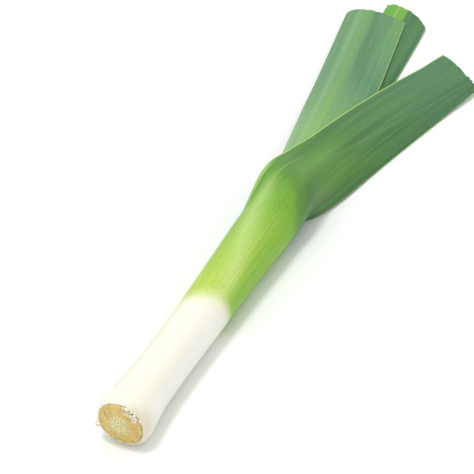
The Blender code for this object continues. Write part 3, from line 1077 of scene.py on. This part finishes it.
# %% The two younger leaves' skins
middle_skin = leaf_skin("waxy_bloomed_leaf", "#7DAE7A", dict(
    seed=17.0, streaks=56.0, bands=8.0, lean=0.0, fray=0.004, tilt=0.0, turns=(0.262, 0.345), depth=0.93,
    sheath=[(0.0, "#E4EEC0"), (0.30, "#C3DF7E"), (0.38, "#93C452"), (0.46, "#7DB350")],
    blade=[(0.32, "#55885C"), (0.44, "#61946A"), (0.54, "#6A9C6E"), (0.66, "#70A064")],
    stripes=[
        # Beside the keel, a painted highlight on the rounded keel, and the lighter foot of the blade
        stripe(0.19, 0.12, 0.45, "#7CAD48", (0.26, 0.32)),
        stripe(-0.06, 0.26, 0.65, "#8DB684", (0.26, 0.32)),
        stripe(0.0, 3.0, 0.50, "#92C26C", (0.26, 0.30), (0.34, 0.46), soft=0.2),
    ],
    veins=60, vein="#B4D698", vein_share=0.30, faint=0.7,
    margin_width=0.022, margin="#9CC36C", low_margin=1.0, dry=0.60, glow=0.06, bloom=0.02,
))
inner_skin = leaf_skin("waxy_dark_leaf", "#5A8F55", dict(
    seed=23.0, streaks=56.0, bands=8.0, lean=0.0, fray=0.004, tilt=0.0, turns=(0.270, 0.350), depth=0.93,
    sheath=[(0.0, "#E8F0C4"), (0.36, "#C8E27C"), (0.44, "#9CCB52"), (0.52, "#78AE4C")],
    blade=[(0.30, "#4A7A50"), (0.42, "#528258"), (0.52, "#59895C"), (0.64, "#60905A")],
    stripes=[
        # The keel, then the bright side at the tip and its pale edge
        stripe(0.0, 0.06, 0.5, "#86B55F", (0.28, 0.34), soft=0.9),
        stripe(0.84, 0.34, 0.9, "#6FAE3E", (0.500, 0.545), soft=0.15),
        stripe(0.70, 0.035, 0.6, "#98C468", (0.520, 0.560), soft=0.9),
    ],
    veins=60, vein="#8FC07A", vein_share=0.26, faint=0.7,
    margin_width=0.022, margin="#93BE60", low_margin=1.0, dry=0.70, glow=0.06, bloom=0.0,
))

# %% [markdown]
# ## Inner faces and cut edges
# The face that was turned to the heart of the leek has no bloom: it is a brighter, yellower green and a
# little glossier. Its streaks are about 80 mm long and 1 to 2 mm wide. The margins and the cut ends show the
# pale flesh between the two skins, made of cells. Real ones are too fine to see, so they are drawn about a
# millimetre across.


# %% Inner face and flesh
def inner_face(name, plain, stops, seed):
    material, tree, surface = new_material(name, plain)
    uv, along, _ = leaf_directions(tree)
    streaks = leaf_grain(tree, uv, 12.0, 50.0, (0.0, 0.0, seed), detail=3.0)
    frayed = add_node(tree, MATH, MULTIPLY_ADD, {0: streaks, 1: 0.02, 2: along})
    place = add_node(tree, MATH, DIVIDE, {0: frayed, 1: ZONE_LENGTH})
    zones = add_node(tree, RAMP, {"stops": stops}, {"Fac": place})
    shade = add_node(tree, RAMP, {"stops": [(0.30, 0.84), (0.70, 1.0)]}, {"Fac": streaks})
    toned = add_node(tree, MIX, TINT, {0: 1.0, 6: zones, 7: shade})
    bump = add_node(tree, BUMP, {}, {"Height": streaks, "Strength": 0.3, "Distance": RELIEF_HEIGHT})
    set_surface(tree, surface, toned.outputs[2], bump, {
        "Roughness": 0.34, "IOR": FLESH_IOR, "Subsurface Weight": 0.08, "Subsurface Scale": 0.002,
    })
    return material


def cut_flesh():
    material, tree, surface = new_material("cut_leaf_flesh", "#B9D98A")
    _, along, _ = leaf_directions(tree)
    here = add_node(tree, PLACE, {}, {}).outputs["Object"]
    cells = add_node(tree, NOISE, {}, {"Vector": here, "Scale": 900.0, "Detail": 2.0})
    uneven = add_node(tree, MATH, MULTIPLY_ADD, {0: cells, 1: 0.10, 2: along})
    stops = [(0.10, "#F4F2E0"), (0.25, "#D9EBA0"), (0.34, "#B8DC74"), (0.60, "#A8CF70")]
    pale = add_node(tree, RAMP, {"stops": stops}, {"Fac": uneven})
    set_surface(tree, surface, pale.outputs[0], None, {"Roughness": 0.45})
    return material


outer_inside = inner_face(
    "leaf_inner_face", "#7FB84C",
    [(0.0, "#F2F3DC"), (0.25, "#E6F0BE"), (0.38, "#B5DA66"), (0.55, "#7FB84C"), (0.92, "#6FAE47")], 31.0)
inner_inside = inner_face(
    "leaf_inner_face_bright", "#86C24F",
    [(0.0, "#F2F3DC"), (0.30, "#E6F0BE"), (0.45, "#BADD6A"), (0.70, "#86C24F"), (0.94, "#82C14C")], 37.0)
flesh = cut_flesh()
print("faces:", outer_inside.name, inner_inside.name, flesh.name)

# %% Put them on
for piece, skin, inside in ((outer_leaf, outer_skin, outer_inside), (middle_leaf, middle_skin, outer_inside),
                            (inner_leaf, inner_skin, inner_inside)):
    for place, material in enumerate((skin, inside, flesh)):
        piece.data.materials[place] = material
    faces = np.empty(len(piece.data.polygons), dtype=int)
    piece.data.polygons.foreach_get("material_index", faces)
    print(piece.name, "faces per material", np.bincount(faces, minlength=3).tolist())

# %% [markdown]
# ## Roots and packed sheaths
# Cut roots dry within hours: they are straw-coloured, deeper in colour towards the rim where they are
# oldest, with small dark specks of soil, and paler, slightly green in the middle where the plate itself
# shows. Cells of about a millimetre and a half, the width of a root, carry the variation, with patches of
# 4 mm and specks under a millimetre. All of it is measured from the leek's axis, so that it follows the
# round plate.


# %% Distance from the axis
def from_axis(tree, middle):
    """The place counted from a point on the axis, the same in the section alone, and its distance there."""
    here = add_node(tree, PLACE, {}, {}).outputs["Object"]
    centred = add_node(tree, VECTOR_MATH, SUBTRACT, {0: here, 1: middle})
    flat = add_node(tree, VECTOR_MATH, MULTIPLY, {0: centred, 1: (0.0, 1.0, 1.0)})
    reach = add_node(tree, VECTOR_MATH, {"operation": "LENGTH"}, {0: flat})
    return centred, flat, reach.outputs["Value"]


# %% Root plate and root ends
def dried_root(name, plain, zone_stops, lowest_tone):
    material, tree, surface = new_material(name, plain)
    centred, flat, reach = from_axis(tree, (-ORIGIN_AT, 0.0, PLATE_Z))
    patches = add_node(tree, NOISE, {}, {"Vector": flat, "Scale": 230.0, "Detail": 3.0, "Roughness": 0.6})
    spread = add_node(tree, MATH, MULTIPLY_ADD, {0: patches, 1: 0.012, 2: reach})
    share = add_node(tree, MATH, DIVIDE, {0: spread, 1: 0.022})
    zones = add_node(tree, RAMP, {"stops": zone_stops}, {"Fac": share})
    cells = add_node(tree, "ShaderNodeTexVoronoi", {"feature": "F1"}, {"Vector": flat, "Scale": 620.0})
    cell_tone = add_node(tree, SEPARATE, {}, {0: cells.outputs["Color"]})
    tone = add_node(tree, RAMP, {"stops": [(0.0, lowest_tone), (0.35, 0.92), (1.0, 1.0)]},
                    {"Fac": cell_tone.outputs[0]})
    toned = add_node(tree, MIX, TINT, {0: 1.0, 6: zones, 7: tone})
    specks = add_node(tree, NOISE, {}, {"Vector": centred, "Scale": 1300.0, "Detail": 1.0})
    dark = add_node(tree, MAP_RANGE, SMOOTH,
                    {"Value": specks, "From Min": 0.62, "From Max": 0.74, "To Max": 0.35})
    specked = add_node(tree, MIX, COLOURS, {0: dark, 6: toned.outputs[2], 7: linear("#94763A")})
    bump = add_node(tree, BUMP, {}, {"Height": specks, "Strength": 0.4, "Distance": 0.0003})
    set_surface(tree, surface, specked.outputs[2], bump, {
        "Roughness": 0.75, "Subsurface Weight": 0.1, "Subsurface Scale": 0.002,
    })
    return material


plate_stops = [(0.30, "#EEE8BA"), (0.55, "#EAD898"), (0.80, "#E8CC80"), (1.00, "#ECD89A")]
end_stops = [(0.30, "#FBF8D2"), (0.55, "#F8ECB6"), (0.80, "#F2DC90"), (1.00, "#ECD280")]
cover(plate, dried_root("fibrous_root_plate", "#C4A450", plate_stops, 0.90))
dried_ends = dried_root("dried_root_ends", "#E0C983", end_stops, 0.82)
cover(root_ends, dried_ends)
cover(curled_root, dried_ends)


# %% Torn sheath and packed sheaths
def torn_skin():
    """Dry papery skin: nearly white, with brown spots of a millimetre or two."""
    material, tree, surface = new_material("dry_torn_sheath", "#F2ECD8")
    here = add_node(tree, PLACE, {}, {}).outputs["Object"]
    spots = add_node(tree, NOISE, {}, {"Vector": here, "Scale": 700.0, "Detail": 2.0})
    stops = [(0.40, "#FFF9E8"), (0.58, "#FAEED2"), (0.68, "#E0C69C"), (0.76, "#A07A4A")]
    browned = add_node(tree, RAMP, {"stops": stops}, {"Fac": spots})
    set_surface(tree, surface, browned.outputs[0], None, {
        "Roughness": 0.6, "Subsurface Weight": 0.3, "Subsurface Scale": 0.002,
    })
    return material


def packed_sheaths():
    """Cut sheaths seen end on: rings of pale flesh and green skin, 2.4 mm from one to the next."""
    material, tree, surface = new_material("packed_sheath_ends", "#DDE8A8")
    reach = from_axis(tree, (0.0, 0.0, TOP_RADIUS))[2]
    turn = add_node(tree, MATH, MULTIPLY, {0: reach, 1: 2600.0})
    rings = add_node(tree, MATH, SINE, {0: turn})
    ringed = add_node(tree, RAMP, {"stops": [(0.2, "#C4DB83"), (0.8, "#EEF2C8")]}, {"Fac": rings})
    set_surface(tree, surface, ringed.outputs[0], None, {"Roughness": 0.45})
    return material


cover(torn_sheath, torn_skin())
cover(roll_end, packed_sheaths())
print("materials:", [piece.data.materials[0].name for piece in (plate, root_ends, torn_sheath, roll_end)])

# %% [markdown]
# ## Floor, light and camera
# The leek lies on a plain white surface under soft daylight from the upper left. One large lamp gives the
# soft shadow on the right, and a pale sky fills the rest. The sky is dimmer near the horizon than overhead,
# so that the sides of the shank are a little darker than its top, as in a room. The camera was fitted to the
# shank's outline and the round root end: it looks down at about 37 degrees, along the leek and a little from
# its right.

# %% Floor
deselect_all()
bpy.ops.mesh.primitive_plane_add(size=8.0, location=(0.0, 0.0, 0.0))
floor = bpy.context.object
floor.name = "table"
# Matt white paper: no gloss of its own, so that only the soft shadow shows on it
white, tree, surface = new_material("white_paper", "#FFFFFF")
surface.inputs["Base Color"].default_value = linear("#F7F8F8")
surface.inputs["Roughness"].default_value = 0.9
floor.data.materials.append(white)

# %% Camera
PICTURE_WIDTH = 474.0
SENSOR_WIDTH = 36.0
ELEVATION = math.radians(36.8)
HEADING = math.radians(24.6)
DISTANCE = 1.30
LENS = 153.7
AIM = Vector((-ORIGIN_AT, 0.0, 0.0180))
AIM_PIXEL = (120.5, 421.8)
look_along = Vector((math.cos(ELEVATION) * math.cos(HEADING), math.cos(ELEVATION) * math.sin(HEADING),
                     -math.sin(ELEVATION)))
rightwards = look_along.cross(Vector((0.0, 0.0, 1.0))).normalized()
upwards = rightwards.cross(look_along)
pixels = LENS / SENSOR_WIDTH * PICTURE_WIDTH
to_right, to_bottom = [(place - PICTURE_WIDTH / 2.0) / pixels for place in AIM_PIXEL]
ray = look_along + rightwards * to_right - upwards * to_bottom
lens = bpy.data.cameras.new("camera")
lens.lens = LENS
lens.sensor_width = SENSOR_WIDTH
camera = bpy.data.objects.new("camera", lens)
bpy.context.scene.collection.objects.link(camera)
turn = Matrix((rightwards, upwards, -look_along)).transposed().to_4x4()
camera.matrix_world = Matrix.Translation(AIM - ray * DISTANCE) @ turn
bpy.context.scene.camera = camera
print("camera at", [round(v, 3) for v in camera.location])

# %% Light
LEEK_MIDDLE = Vector((0.10, 0.0, 0.0))
WINDOW_PLACE = Vector((0.0, 0.0, 3.20)) - rightwards * 0.70

window_light = bpy.data.lights.new("window", "AREA")
window_light.shape = "DISK"
window_light.size = 0.80
window_light.energy = 36.0
window_light.color = (1.0, 0.99, 0.97)
window = bpy.data.objects.new("window", window_light)
window.location = LEEK_MIDDLE + WINDOW_PLACE
window.rotation_euler = (-WINDOW_PLACE).to_track_quat("-Z", "Y").to_euler()
bpy.context.scene.collection.objects.link(window)

sky = bpy.data.worlds.new("pale_sky")
sky.use_nodes = True
direction = add_node(sky.node_tree, PLACE, {}, {})
height = add_node(sky.node_tree, SEPARATE, {}, {0: direction.outputs["Generated"]})
dome = add_node(sky.node_tree, RAMP, {"stops": [(0.05, 0.20), (0.45, 1.0)]}, {"Fac": height.outputs[2]})
background = sky.node_tree.nodes["Background"]
sky.node_tree.links.new(dome.outputs[0], background.inputs["Color"])
background.inputs["Strength"].default_value = 0.91
bpy.context.scene.world = sky
bpy.context.scene.view_settings.view_transform = "Standard"
print("lamp", round(WINDOW_PLACE.length, 2), "m from the leek")
